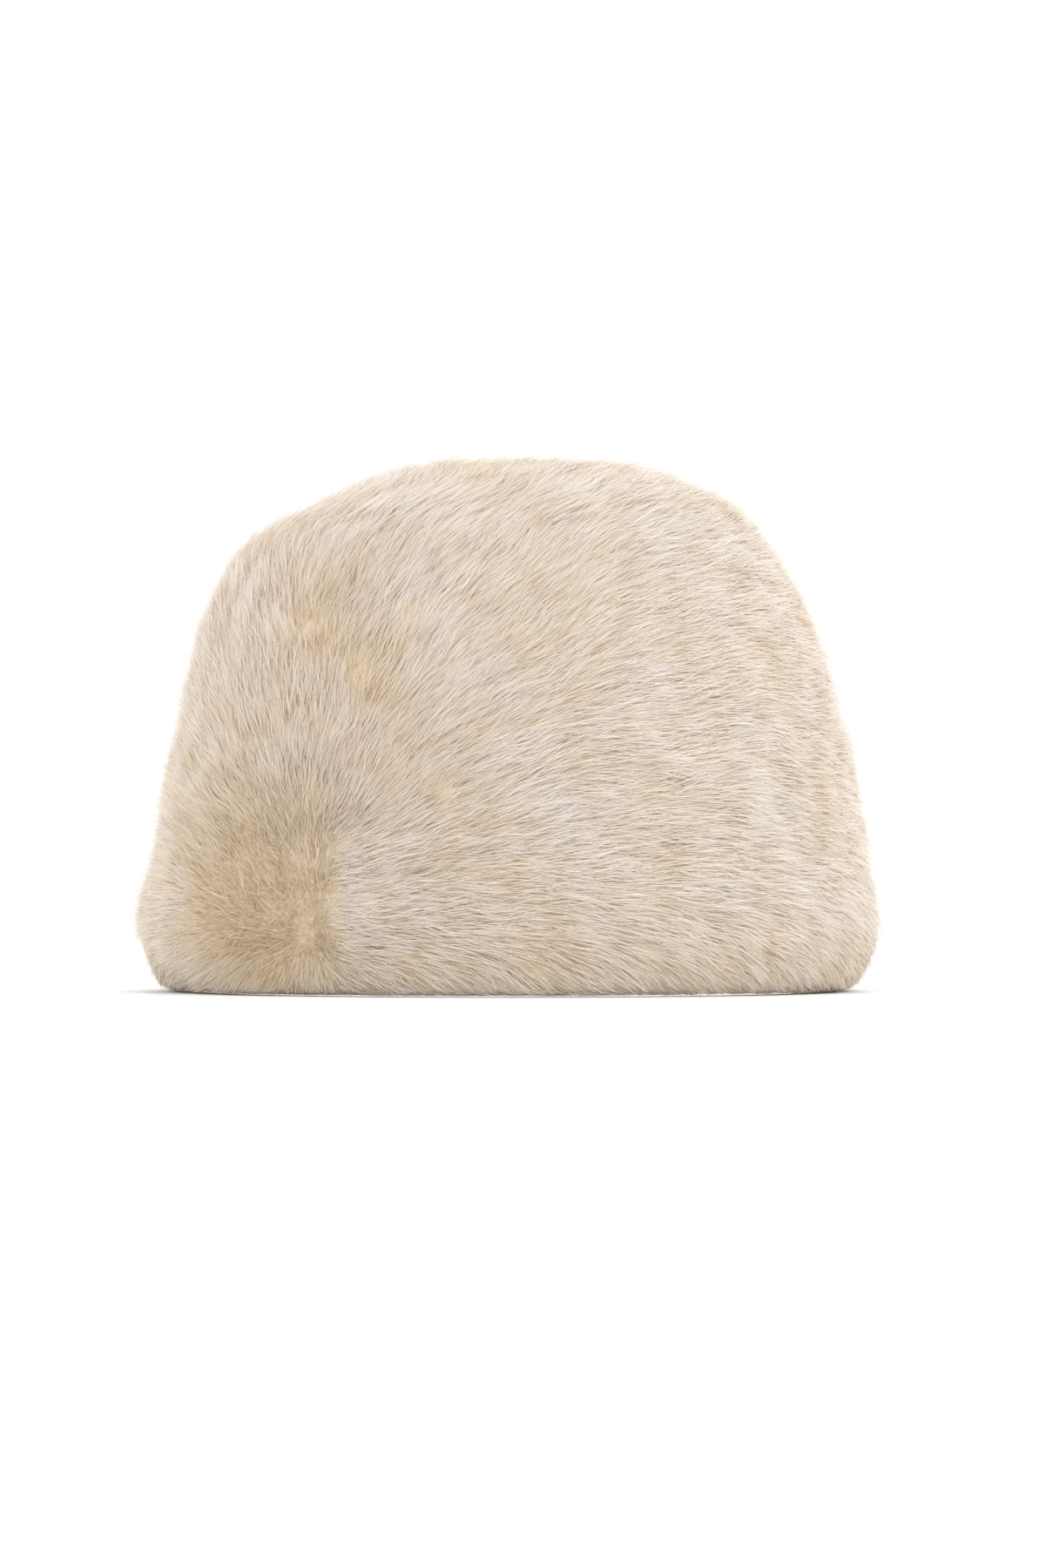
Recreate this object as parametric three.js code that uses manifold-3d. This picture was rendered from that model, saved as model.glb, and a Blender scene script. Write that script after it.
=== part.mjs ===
// A fur cossack hat standing on its rim, in millimetres: +Z up, the front towards -Y.
// The fur is an oval shell of backing and lying pile, parted at the crown seam into a side
// band and a top piece. Its pile is a coat of overlapping locks, combed out from a whorl low
// on the front. At the rim the fur rolls under into a hem, and a satin lining hangs inside.
import * as THREE from "three";
import { mergeVertices } from "three/addons/utils/BufferGeometryUtils.js";
import Module from "manifold-3d";

const wasm = await Module();
wasm.setup();

const { degToRad, smoothstep, euclideanModulo, clamp } = THREE.MathUtils;
const fullTurn = 2 * Math.PI;

// Outside of the hat, over the highest locks
const hatWidth = 234; // ear to ear
const hatDepth = 252; // front to back
const hatHeight = 167; // rim to crown
const depthRatio = hatDepth / hatWidth;

// Layers
const lockRise = 2.2; // how far a lock stands out of the lying pile
const furThickness = 10; // backing and lying pile
const furInside = lockRise + furThickness;
const seamGap = 0.6; // between two sewn pieces
const liningClearance = 2.4; // between the backing and the lining
const liningThickness = 1.2;

// Crown seam: higher on the right, where the crown leans
const seamShare = 0.66; // of the way from the rim's underside to the crown
const seamTilt = 0.045;

// Whorl that the pile is combed out from, low on the front and left of the middle
const whorlAngle = degToRad(-124);
const whorlHeight = 26;
const napDroop = degToRad(38); // how far the nap sinks on its way round the side
const droopReach = degToRad(75); // angle round the hat over which it sinks

// Loose fold of the lining that hangs over the hem, at the back on the right
const foldAngle = degToRad(29);
const foldHalfAngle = degToRad(17);
const foldDrop = 12;
const foldInward = 5;
const liningEdge = { inward: 10.5, up: 21.5 }; // elsewhere, from the rim's middle line

const columns = 48; // facets round each piece
const flatness = 0.16; // triangles flatter than this are joined

// The hat's outline from the rim's underside to the crown: across and up are shares of half
// the width and of the height, and centre is how far the section sits to the right
const outlineRows = [
  { place: "underside", across: 0.867, up: -0.021, centre: 0 },
  { place: "rest", across: 0.905, up: -0.017, centre: 0.5 },
  { place: "roll", across: 0.957, up: 0.022, centre: 1 },
  { place: "widest", across: 1.0, up: 0.11, centre: 0.3 },
  { place: "lower side", across: 0.967, up: 0.277, centre: 1.2 },
  { place: "upper side", across: 0.89, up: 0.554, centre: 1.2 },
  { place: "below shoulder", across: 0.815, up: 0.72, centre: 0 },
  { place: "shoulder", across: 0.71, up: 0.845, centre: 0.5 },
  { place: "above shoulder", across: 0.548, up: 0.925, centre: 6.5 },
  { place: "top", across: 0.34, up: 0.982, centre: 5 },
  { place: "crown", across: 0, up: 1, centre: 4.5 },
];

// The hem's section, in millimetres in from the rim's middle line and up from the rest
const rollMiddle = 0.857 * (hatWidth / 2); // the rim's middle line, where the hem starts
const hemRows = [
  { place: "start", inward: 0, up: -2.4 },
  { place: "rest", inward: 5, up: -1.6 },
  { place: "roll", inward: 10, up: 4 },
  { place: "front", inward: 12, up: 12.5 },
  { place: "upper front", inward: 9.5, up: 19 },
  { place: "edge", inward: 4, up: 22.2 },
  { place: "back", inward: -1.5, up: 22 },
];

// Sizes of the locks: the spacing is along and across the rows
const coatLocks = { length: 42, width: 22, rise: lockRise, tipLift: 1, along: 27, across: 30 };
const hemLocks = { length: 30, width: 19, rise: 1.5, tipLift: 0.8, along: 14, across: 24 };

// Profiles hold the radius, the height and the centre
const outline = new THREE.CatmullRomCurve3(
  outlineRows.map(
    ({ across, up, centre }) => new THREE.Vector3((across * hatWidth) / 2, up * hatHeight, centre),
  ),
);
const hemSection = new THREE.CatmullRomCurve3(
  hemRows.map(({ inward, up }) => new THREE.Vector3(rollMiddle - inward, up, 0)),
);

// A point of the oval surface that a profile sweeps: share runs along the profile, and outset
// moves the point off it, outwards when the profile runs up the outside.
function ovalPoint(profile, share, angle, outset, side = 1) {
  const at = profile.getPointAt(clamp(share, 0, 1));
  const along = profile.getTangentAt(clamp(share, 0, 1));
  const radius = Math.max(at.x + side * along.y * outset, 0);
  return new THREE.Vector3(
    at.z + radius * Math.cos(angle),
    radius * depthRatio * Math.sin(angle),
    at.y - side * along.x * outset,
  );
}

const coatPoint = (share, angle, outset) => ovalPoint(outline, share, angle, outset);
const hemPoint = (share, angle, outset) => ovalPoint(hemSection, share, angle, outset, -1);

// A closed surface, wound either way, through rings of points. With two end points it runs
// from one to the other, and without them its last ring joins its first.
function loft(rings, start, end) {
  const points = rings.flat();
  const triangles = [];
  const count = rings.length;
  const bands = start ? count - 1 : count;
  for (let row = 0; row < bands; row += 1) {
    for (let column = 0; column < columns; column += 1) {
      const next = (column + 1) % columns;
      const here = row * columns;
      const below = ((row + 1) % count) * columns;
      triangles.push(here + column, below + column, below + next);
      triangles.push(here + column, below + next, here + next);
    }
  }
  if (start) {
    const startIndex = points.push(start) - 1;
    const endIndex = points.push(end) - 1;
    const lastRow = (count - 1) * columns;
    for (let column = 0; column < columns; column += 1) {
      const next = (column + 1) % columns;
      triangles.push(startIndex, column, next);
      triangles.push(endIndex, lastRow + next, lastRow + column);
    }
  }
  return new THREE.BufferGeometry().setFromPoints(points).setIndex(triangles);
}

// One ring of points round the hat, from a function of the angle
function ring(pointAt) {
  return Array.from({ length: columns }, (_, column) => pointAt((column / columns) * fullTurn));
}

const steps = (count, from, to) =>
  Array.from({ length: count }, (_, step) => from + ((to - from) * step) / Math.max(count - 1, 1));

function toSolid(geometry) {
  const bare = new THREE.BufferGeometry();
  bare.setAttribute("position", geometry.getAttribute("position"));
  bare.setIndex(geometry.index);
  const merged = mergeVertices(bare, 1e-4);
  const corners = new Uint32Array(merged.index.array);
  const build = () =>
    new wasm.Manifold(
      new wasm.Mesh({
        numProp: 3,
        vertProperties: new Float32Array(merged.attributes.position.array),
        triVerts: corners,
      }),
    );
  const solid = build();
  if (solid.volume() > 0) return solid;
  corners.reverse();
  return build();
}

// The largest body of a solid, without the lock tips that a seam has cut off
function mainBody(solid) {
  return solid.decompose().reduce((best, body) => (body.volume() > best.volume() ? body : best));
}

function toGeometry(solid) {
  const mesh = mainBody(solid).simplify(flatness).getMesh();
  const geometry = new THREE.BufferGeometry();
  geometry.setAttribute("position", new THREE.BufferAttribute(mesh.vertProperties, 3));
  geometry.setIndex(new THREE.BufferAttribute(mesh.triVerts, 1));
  geometry.computeVertexNormals();
  return geometry;
}

// Unevenness of a lock, from -1 to 1, the same for the same numbers
function uneven(row, column, kind) {
  const wave = Math.sin(row * 12.9898 + column * 78.233 + kind * 37.719) * 43758.5453;
  return 2 * (wave - Math.floor(wave)) - 1;
}

// The way the pile lies on the coat, as an angle from level, seen from outside: straight away
// from the whorl, and sinking as it goes round the side.
const whorl = coatPoint(0.19, whorlAngle, 0).setZ(whorlHeight);

function coatNap(share, angle) {
  const reach = 0.01;
  const at = coatPoint(share, angle, 0);
  const level = coatPoint(share, angle + reach, 0).sub(coatPoint(share, angle - reach, 0)).normalize();
  const upward = coatPoint(share + reach, angle, 0).sub(coatPoint(share - reach, angle, 0)).normalize();
  const away = at.sub(whorl);
  const turned = euclideanModulo(angle - whorlAngle + Math.PI, fullTurn) - Math.PI;
  const sinking = napDroop * clamp(turned / droopReach, -1, 1) * (1 - smoothstep(share, 0.55, 0.75));
  return Math.atan2(away.dot(upward), away.dot(level)) - sinking;
}

// The hem's pile lies towards the middle of the hat and a little to one side
const hemNap = () => degToRad(115);

// One lock: a leaf of fur with a sunk root and belly, a raised ridge and a free tip
function lockSolid(surfacePoint, profileLength, share, angle, nap, size) {
  const radius = Math.max(Math.hypot(...surfacePoint(share, angle, 0).toArray().slice(0, 2)), 6);
  const place = (forward, sideways, lift) => {
    const up = forward * Math.sin(nap) + sideways * Math.cos(nap);
    const level = forward * Math.cos(nap) - sideways * Math.sin(nap);
    return surfacePoint(share + up / profileLength, angle + level / radius, lift);
  };
  const sunk = -2.6;
  const leaf = [
    place(-0.45 * size.length, 0, sunk),
    place(0, -0.5 * size.width, sunk * 0.5),
    place(0.05 * size.length, 0, size.rise),
    place(0, 0.5 * size.width, sunk * 0.5),
    place(0, 0, 2 * sunk),
    place(0.55 * size.length, 0, size.tipLift),
  ];
  const [root, left, ridge, right, belly, tip] = leaf.keys();
  const sides = [left, ridge, right, belly];
  const triangles = sides.flatMap((corner, index) => {
    const next = sides[(index + 1) % sides.length];
    return [root, corner, next, tip, next, corner];
  });
  return toSolid(new THREE.BufferGeometry().setFromPoints(leaf).setIndex(triangles));
}

// Rows of locks over a surface, each row set half a lock off the one below
function combed(solid, surfacePoint, profile, napAt, size, from, to) {
  const profileLength = profile.getLength();
  const rowCount = Math.max(Math.round(((to - from) * profileLength) / size.along), 1);
  let coat = solid;
  steps(rowCount, from, to).forEach((rowShare, row) => {
    const radius = surfacePoint(rowShare, 0, 0).x;
    const count = Math.max(Math.round((fullTurn * radius) / size.across), 1);
    for (let column = 0; column < count; column += 1) {
      const angle = ((column + 0.5 * (row % 2) + 0.18 * uneven(row, column, 1)) / count) * fullTurn;
      const share = rowShare + (0.15 * size.along * uneven(row, column, 2)) / profileLength;
      const turn = 0.16 * uneven(row, column, 3);
      const grown = 1 + 0.12 * uneven(row, column, 4);
      const lock = { ...size, length: size.length * grown, width: size.width * grown };
      const nap = napAt(share, angle) + turn;
      coat = coat.add(lockSolid(surfacePoint, profileLength, share, angle, nap, lock));
    }
  });
  return coat;
}

// What lies below the surface that the hat stands on
function underfloor() {
  const depth = 20;
  const slab = new THREE.BoxGeometry(2 * hatWidth, 2 * hatDepth, depth);
  return toSolid(slab.translate(0, 0, -depth / 2));
}

// Everything above the crown seam, shifted along the outline by half the seam's gap
function aboveSeam(shift) {
  const seamAt = (angle) =>
    seamShare + seamTilt * Math.cos(angle) + shift / outline.getLength();
  const outside = ring((angle) => coatPoint(seamAt(angle), angle, 12));
  const inside = ring((angle) => coatPoint(seamAt(angle), angle, -2.2 * furInside));
  const over = new THREE.Vector3(0, 0, 1.4 * hatHeight);
  const under = new THREE.Vector3(0, 0, inside[0].z);
  return toSolid(loft([outside, inside], over, under));
}

function coatSolid() {
  const outerShares = [...steps(9, 0.97, 0.15), ...steps(4, 0.1, 0)];
  const outerRows = outerShares.map((share) => ring((angle) => coatPoint(share, angle, -lockRise)));
  const innerRows = steps(8, 0.13, 0.95).map((share) => ring((angle) => coatPoint(share, angle, -furInside)));
  const innerFoot = ring((angle) => coatPoint(0, angle, 0));
  const shell = toSolid(
    loft([...outerRows, innerFoot, ...innerRows], coatPoint(1, 0, -lockRise), coatPoint(1, 0, -furInside)),
  );
  const pile = (share, angle, lift) => coatPoint(share, angle, lift - lockRise);
  return combed(shell, pile, outline, coatNap, coatLocks, 0.09, 0.95).subtract(underfloor());
}

function hemSolid() {
  const rows = steps(7, 0, 1).map((share) => ring((angle) => hemPoint(share, angle, -hemLocks.rise)));
  const body = toSolid(loft(rows));
  const pile = (share, angle, lift) => hemPoint(share, angle, lift - hemLocks.rise);
  return combed(body, pile, hemSection, hemNap, hemLocks, 0.45, 0.6).subtract(underfloor());
}

// How much of the loose fold shows at an angle, from 0 to 1
function foldAt(angle) {
  const turned = euclideanModulo(angle - foldAngle + Math.PI, fullTurn) - Math.PI;
  return 0.5 + 0.5 * Math.cos(Math.PI * clamp(turned / foldHalfAngle, -1, 1));
}

// The lining hangs from the hem's upper edge: it starts at the edge, bends out to the
// backing, and follows the crown.
function liningPoint(share, angle, inward) {
  const startShare = 0.17;
  const along = startShare + (1 - startShare) * share;
  const hung = coatPoint(along, angle, -furInside - liningClearance - inward);
  const radius = rollMiddle - liningEdge.inward - foldInward * foldAt(angle) - inward;
  const edgePoint = new THREE.Vector3(
    radius * Math.cos(angle),
    radius * depthRatio * Math.sin(angle),
    liningEdge.up - foldDrop * foldAt(angle),
  );
  const pull = (1 - smoothstep(share, 0, 0.16)) ** 1.5;
  return hung.lerp(edgePoint, pull);
}

function liningSolid() {
  const shares = [0, 0.06, ...steps(6, 0.14, 0.94)];
  const innerRows = shares.map((share) =>
    ring((angle) => liningPoint(share, angle, liningThickness)),
  );
  const outerRows = shares.reverse().map((share) => ring((angle) => liningPoint(share, angle, 0)));
  return toSolid(
    loft([...outerRows, ...innerRows], liningPoint(1, 0, 0), liningPoint(1, 0, liningThickness)),
  );
}

function piece(name, solid, color, roughness) {
  const material = new THREE.MeshStandardMaterial({ color, roughness, metalness: 0 });
  const mesh = new THREE.Mesh(toGeometry(solid), material);
  mesh.name = name;
  return mesh;
}

const furColour = 0xe0d2bd;
const satinColour = 0x0b0b10;

const coat = coatSolid();
const hat = new THREE.Group();
hat.add(piece("fur_side_band", coat.subtract(aboveSeam(-seamGap / 2)), furColour, 0.9));
hat.add(piece("fur_top_piece", coat.intersect(aboveSeam(seamGap / 2)), furColour, 0.9));
hat.add(piece("fur_hem", hemSolid(), furColour, 0.9));
hat.add(piece("satin_lining", liningSolid(), satinColour, 0.4));

// The middle of the whole stands on the origin
const middle = new THREE.Box3().setFromObject(hat).getCenter(new THREE.Vector3());
hat.children.forEach((mesh) => mesh.geometry.translate(-middle.x, -middle.y, 0));

export default hat;
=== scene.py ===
import math

import bpy
import numpy as np
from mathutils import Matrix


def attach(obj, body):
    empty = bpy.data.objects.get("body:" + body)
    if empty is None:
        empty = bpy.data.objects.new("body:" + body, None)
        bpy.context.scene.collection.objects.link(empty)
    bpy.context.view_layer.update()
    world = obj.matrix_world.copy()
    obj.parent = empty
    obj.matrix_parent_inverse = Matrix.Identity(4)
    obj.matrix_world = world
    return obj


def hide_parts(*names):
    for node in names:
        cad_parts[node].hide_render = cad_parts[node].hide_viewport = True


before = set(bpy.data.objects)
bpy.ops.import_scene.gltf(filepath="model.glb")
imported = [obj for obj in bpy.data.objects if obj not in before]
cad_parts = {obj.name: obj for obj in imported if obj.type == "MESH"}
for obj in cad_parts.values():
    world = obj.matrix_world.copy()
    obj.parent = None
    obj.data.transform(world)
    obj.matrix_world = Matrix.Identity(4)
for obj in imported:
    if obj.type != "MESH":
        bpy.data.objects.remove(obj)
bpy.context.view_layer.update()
print("frame loaded:", sorted(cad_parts))

# All lengths are in metres. The front of the hat looks along -Y.
shotSetup = {
    "target": (0.0045, 0.0, 0.0647),
    "distance": 1.5,
    "elevation": -1.5,  # degrees: as low as a camera above the floor can look
    "lens": 110,
    "key": {"at": (0.8, -1.6, 1.1), "size": 1.2, "watts": 12, "colour": (0.96, 1.0, 0.99)},
    "fill": {"at": (-1.4, -1.2, 1.2), "size": 1.6, "watts": 2.5, "colour": (1.0, 0.96, 0.95)},
    "back": {"at": (0.2, 1.9, 1.2), "size": 1.6, "watts": 16, "colour": (1.0, 1.0, 1.0)},
    "skyStrength": 1.06,
}


def placeCamera():
    # the camera stands back from the target along the view's own direction
    tilt = math.radians(shotSetup["elevation"])
    target = np.array(shotSetup["target"])
    place = target + shotSetup["distance"] * np.array([0, -math.cos(tilt), math.sin(tilt)])
    lens = bpy.data.cameras.new("frontCamera")
    lens.lens = shotSetup["lens"]
    lens.clip_start = 0.05
    camera = bpy.data.objects.new("frontCamera", lens)
    camera.location = place
    camera.rotation_euler = (math.pi / 2 - tilt, 0, 0)
    bpy.context.scene.collection.objects.link(camera)
    bpy.context.scene.camera = camera


def softLight(name, at, size, watts, colour):
    # a square lamp that faces the middle of the hat
    lamp = bpy.data.lights.new(name, "AREA")
    lamp.size = size
    lamp.energy = watts
    lamp.color = colour
    holder = bpy.data.objects.new(name, lamp)
    holder.location = at
    away = np.array(at) - np.array([0, 0, 0.08])
    holder.rotation_euler = (
        math.atan2(math.hypot(away[0], away[1]), away[2]),
        0,
        math.atan2(away[0], -away[1]),
    )
    bpy.context.scene.collection.objects.link(holder)


placeCamera()
softLight("keyLight", **shotSetup["key"])
softLight("fillLight", **shotSetup["fill"])
softLight("backLight", **shotSetup["back"])
sky = bpy.data.worlds.new("studioSky")
sky.use_nodes = True
sky.node_tree.nodes["Background"].inputs["Color"].default_value = (1, 1, 1, 1)
sky.node_tree.nodes["Background"].inputs["Strength"].default_value = shotSetup["skyStrength"]
bpy.context.scene.world = sky
bpy.context.scene.view_settings.view_transform = "Standard"
print("camera, lights and sky are up")


class Signal:
    # a socket of a material; + - * / on it add Math nodes
    def __init__(self, finish, socket):
        self.finish = finish
        self.socket = socket

    def math(self, operation, first, second):
        return self.finish.node("ShaderNodeMath", {"operation": operation}, {0: first, 1: second})

    def __add__(self, other):
        return self.math("ADD", self, other)

    def __sub__(self, other):
        return self.math("SUBTRACT", self, other)

    def __mul__(self, other):
        return self.math("MULTIPLY", self, other)

    def __truediv__(self, other):
        return self.math("DIVIDE", self, other)

    def __rsub__(self, other):
        return self.math("SUBTRACT", other, self)

    def __rtruediv__(self, other):
        return self.math("DIVIDE", other, self)

    __radd__ = __add__
    __rmul__ = __mul__


class Finish:
    # a material being made: node() adds any node and joins it up
    def __init__(self, name):
        self.material = bpy.data.materials.new(name)
        self.material.use_nodes = True
        self.tree = self.material.node_tree
        self.shader = self.tree.nodes["Principled BSDF"]
        self.output = self.tree.nodes["Material Output"]

    def node(self, kind, settings=None, sockets=None, output=0):
        made = self.tree.nodes.new(kind)
        for key, value in (settings or {}).items():
            if key == "stops":
                self.setStops(made.color_ramp, value)
            else:
                setattr(made, key, value)
        self.join(made, sockets or {})
        return Signal(self, made.outputs[output])

    def join(self, made, sockets):
        for key, value in sockets.items():
            if isinstance(value, Signal):
                self.tree.links.new(value.socket, made.inputs[key])
            else:
                made.inputs[key].default_value = value

    def setStops(self, colours, stops):
        while len(colours.elements) < len(stops):
            colours.elements.new(0.5)
        for element, (place, colour) in zip(colours.elements, stops):
            element.position = place
            element.color = (*colour, 1)

    def mixed(self, factor, first, second):
        # Mix node on colours; its colour sockets are 6 and 7, and the result is output 2
        return self.node(
            "ShaderNodeMix", {"data_type": "RGBA"}, {0: factor, 6: first, 7: second}, output=2
        )


# The outline from the rim's underside to the crown: shares of half the width and of the
# height, and how far the section sits to the right, in millimetres
hatForm = {
    "width": 0.234,
    "depth": 0.252,
    "height": 0.167,
    "middle": (0.0005, 0.0),  # the whole stands on its own middle
    "backing": 0.0122,  # how deep the inside of the backing lies under the outline
    "rows": [
        (0.867, -0.021, 0.0),  # underside
        (0.905, -0.017, 0.5),  # rest
        (0.957, 0.022, 1.0),  # roll
        (1.0, 0.11, 0.3),  # widest
        (0.967, 0.277, 1.2),  # lower side
        (0.89, 0.554, 1.2),  # upper side
        (0.815, 0.72, 0.0),  # below the shoulder
        (0.71, 0.845, 0.5),  # shoulder
        (0.548, 0.925, 6.5),  # above the shoulder
        (0.34, 0.982, 5.0),  # top
        (0.0, 1.0, 4.5),  # crown
    ],
    "seamShare": 0.66,  # the crown seam, of the way from the underside to the crown
    "seamTilt": 0.045,
}
depthRatio = hatForm["depth"] / hatForm["width"]

floorForm = {
    "radii": [0.096, 0.3, 1.0, 3.0, 9.0],
    "sides": 64,
    "colour": (0.985, 0.985, 0.985, 1),
    "roughness": 0.9,
}


def floorPiece():
    # rings of points (r cos a, ratio r sin a, 0); the innermost is the edge of an opening
    # that the hat covers, as oval as the hat, through which the hollow gets its light
    radii = np.array(floorForm["radii"])
    sides = floorForm["sides"]
    turns = np.linspace(0, 2 * math.pi, sides, endpoint=False)
    points = np.zeros((len(radii), sides, 3))
    points[..., 0] = radii[:, None] * np.cos(turns)
    points[..., 1] = radii[:, None] * np.sin(turns) * depthRatio
    here = np.arange(sides)
    following = (here + 1) % sides
    low = np.arange(len(radii) - 1)[:, None] * sides
    high = low + sides
    rings = np.stack([low + here, high + here, high + following, low + following], -1)
    mesh = bpy.data.meshes.new("floor")
    mesh.from_pydata(points.reshape(-1, 3).tolist(), [], rings.reshape(-1, 4).tolist())
    floor = bpy.data.objects.new("floor", mesh)
    bpy.context.scene.collection.objects.link(floor)
    paint = Finish("paleFloor")
    paint.join(
        paint.shader, {"Base Color": floorForm["colour"], "Roughness": floorForm["roughness"]}
    )
    # from underneath the floor is clear, so that the inside of the hat can be looked at
    under = paint.node("ShaderNodeNewGeometry", output="Backfacing")
    clear = paint.node("ShaderNodeBsdfTransparent")
    body = Signal(paint, paint.shader.outputs[0])
    shown = paint.node("ShaderNodeMixShader", None, {0: under, 1: body, 2: clear})
    paint.tree.links.new(shown.socket, paint.output.inputs["Surface"])
    mesh.materials.append(paint.material)


floorPiece()

# The hem's section: millimetres in from the rim's middle line, and up from the floor
hemForm = {
    "middleLine": 0.857 * 0.117,
    "rows": [(0, -2.4), (5, -1.6), (10, 4), (12, 12.5), (9.5, 19), (4, 22.2), (-1.5, 22)],
}


def throughRows(rows, steps=60):
    # a smooth curve through points: on each stretch a cubic whose end slopes come from the
    # neighbours, with stretches timed by the square root of their lengths
    rows = np.asarray(rows, float)
    ends = np.vstack([2 * rows[0] - rows[1], rows, 2 * rows[-1] - rows[-2]])
    a, b, c, d = ends[:-3], ends[1:-2], ends[2:-1], ends[3:]

    def pace(p, q):
        return np.linalg.norm(q - p, axis=1, keepdims=True) ** 0.5

    before, during, after = pace(a, b), pace(b, c), pace(c, d)
    leave = ((b - a) / before - (c - a) / (before + during) + (c - b) / during) * during
    arrive = ((c - b) / during - (d - b) / (during + after) + (d - c) / after) * during
    t = np.linspace(0, 1, steps, endpoint=False)[:, None, None]
    curve = (
        (2 * t**3 - 3 * t**2 + 1) * b
        + (t**3 - 2 * t**2 + t) * leave
        + (3 * t**2 - 2 * t**3) * c
        + (t**3 - t**2) * arrive
    )
    return np.vstack([curve.transpose(1, 0, 2).reshape(-1, rows.shape[1]), rows[-1:]])


def makeProfile(rows, side):
    # rows of radius, height and centre; far is the length along the curve, and out is the
    # direction off it, to the right of the way it runs when side is 1
    curve = throughRows(rows)
    pieces = np.linalg.norm(np.diff(curve, axis=0), axis=1)
    far = np.concatenate([[0], np.cumsum(pieces)])
    slope = np.gradient(curve[:, :2], far, axis=0)
    slope /= np.linalg.norm(slope, axis=1, keepdims=True)
    return {
        "far": far,
        "length": far[-1],
        "radius": curve[:, 0],
        "height": curve[:, 1],
        "centre": curve[:, 2],
        "outRadius": side * slope[:, 1],
        "outHeight": -side * slope[:, 0],
        "startSlope": slope[0, 0],
    }


def along(profile, key, far):
    return np.interp(far, profile["far"], profile[key])


def ovalPoint(profile, far, angle, lift):
    # the profile, lifted off by lift, swept round an oval: x = centre + r cos a,
    # y = ratio r sin a, z = height; before its start it runs on level
    radius = along(profile, "radius", far) + lift * along(profile, "outRadius", far)
    radius = np.maximum(radius + np.minimum(far, 0) * profile["startSlope"], 0)
    height = along(profile, "height", far) + lift * along(profile, "outHeight", far)
    x = along(profile, "centre", far) + radius * np.cos(angle) - hatForm["middle"][0]
    y = depthRatio * radius * np.sin(angle) - hatForm["middle"][1]
    return np.stack(np.broadcast_arrays(x, y, height), axis=-1)


def widthAt(profile, far, angle):
    # metres along the oval for each radian
    radius = np.maximum(along(profile, "radius", far), 0.004)
    return radius * np.sqrt(np.sin(angle) ** 2 + (depthRatio * np.cos(angle)) ** 2)


coatProfile = makeProfile(
    [
        (across * hatForm["width"] / 2, up * hatForm["height"], centre / 1000)
        for across, up, centre in hatForm["rows"]
    ],
    1,
)
hemProfile = makeProfile(
    [(hemForm["middleLine"] - inward / 1000, up / 1000, 0) for inward, up in hemForm["rows"]], -1
)


def seamFar(angle):
    return (hatForm["seamShare"] + hatForm["seamTilt"] * np.cos(angle)) * coatProfile["length"]


def ramp(value, low, high):
    # 0 below low, 1 above high, and an even S between
    t = np.clip((value - low) / (high - low), 0, 1)
    return t * t * (3 - 2 * t)


def scattered(*numbers):
    # a number from 0 to 1 for each set of whole numbers, the same each time
    total = sum((n + 1.37) * k for n, k in zip(numbers, (12.9898, 78.233, 37.719, 151.7182)))
    wave = np.sin(total) * 43758.5453
    return wave - np.floor(wave)


def swell(points, scale, seed, waves=10):
    # a smooth field from about -1 to 1: plane waves of random direction, about scale long
    dice = np.random.default_rng(seed)
    ways = dice.normal(size=(waves, 3))
    ways *= (2 * math.pi / scale) / np.linalg.norm(ways, axis=1, keepdims=True)
    ways *= dice.uniform(0.6, 1.4, (waves, 1))
    phase = dice.uniform(0, 2 * math.pi, waves)
    return np.sin(points @ ways.T + phase).sum(axis=1) / math.sqrt(waves / 2) / 1.8


def linkPiece(name, mesh, material, node):
    piece = bpy.data.objects.new(name, mesh)
    bpy.context.scene.collection.objects.link(piece)
    mesh.materials.append(material)
    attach(piece, "root")
    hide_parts(node)


def closedSurface(name, rings, startPole=None, endPole=None):
    # quads between rings of points, fans onto two poles, or the last ring joined to the first
    rows, columns = rings.shape[:2]
    places = rings.reshape(-1, 3)
    here = np.arange(columns)
    following = (here + 1) % columns
    bands = np.arange(rows - 1 if startPole is not None else rows)[:, None]
    low, high = bands * columns, ((bands + 1) % rows) * columns
    quads = np.stack([low + here, high + here, high + following, low + following], axis=-1)
    quads = quads.reshape(-1, 4)
    fans = np.empty((0, 3), int)
    if startPole is not None:
        places = np.vstack([places, startPole, endPole])
        last = (rows - 1) * columns
        pole = np.full(columns, len(places) - 2)
        firstFan = np.stack([pole, here, following], 1)
        fans = np.vstack([firstFan, np.stack([pole + 1, last + following, last + here], 1)])
    # where the volume comes out negative, every face is turned over
    triangles = np.vstack([quads[:, [0, 1, 2]], quads[:, [0, 2, 3]], fans])
    a, b, c = places[triangles].transpose(1, 0, 2)
    if (a * np.cross(b, c)).sum() < 0:
        quads, fans = quads[:, ::-1], fans[:, ::-1]
    mesh = bpy.data.meshes.new(name)
    mesh.from_pydata(places.tolist(), [], quads.tolist() + fans.tolist())
    mesh.polygons.foreach_set("use_smooth", np.ones(len(mesh.polygons), bool))
    mesh.update()
    return mesh


# Colours of the pile from root to tip, for the palest and the most golden strands
furFinish = {
    "pale": [
        (0.0, (0.76, 0.65, 0.53)),
        (0.35, (0.81, 0.715, 0.605)),
        (0.65, (0.89, 0.83, 0.81)),
        (1.0, (0.945, 0.905, 0.925)),
    ],
    "golden": [
        (0.0, (0.61, 0.455, 0.27)),
        (0.35, (0.72, 0.55, 0.33)),
        (0.65, (0.80, 0.66, 0.46)),
        (1.0, (0.88, 0.76, 0.59)),
    ],
    "usual": 0.68,  # how pale a strand is on the whole
    "roughness": 0.55,
    "specular": 0.25,
}


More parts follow.
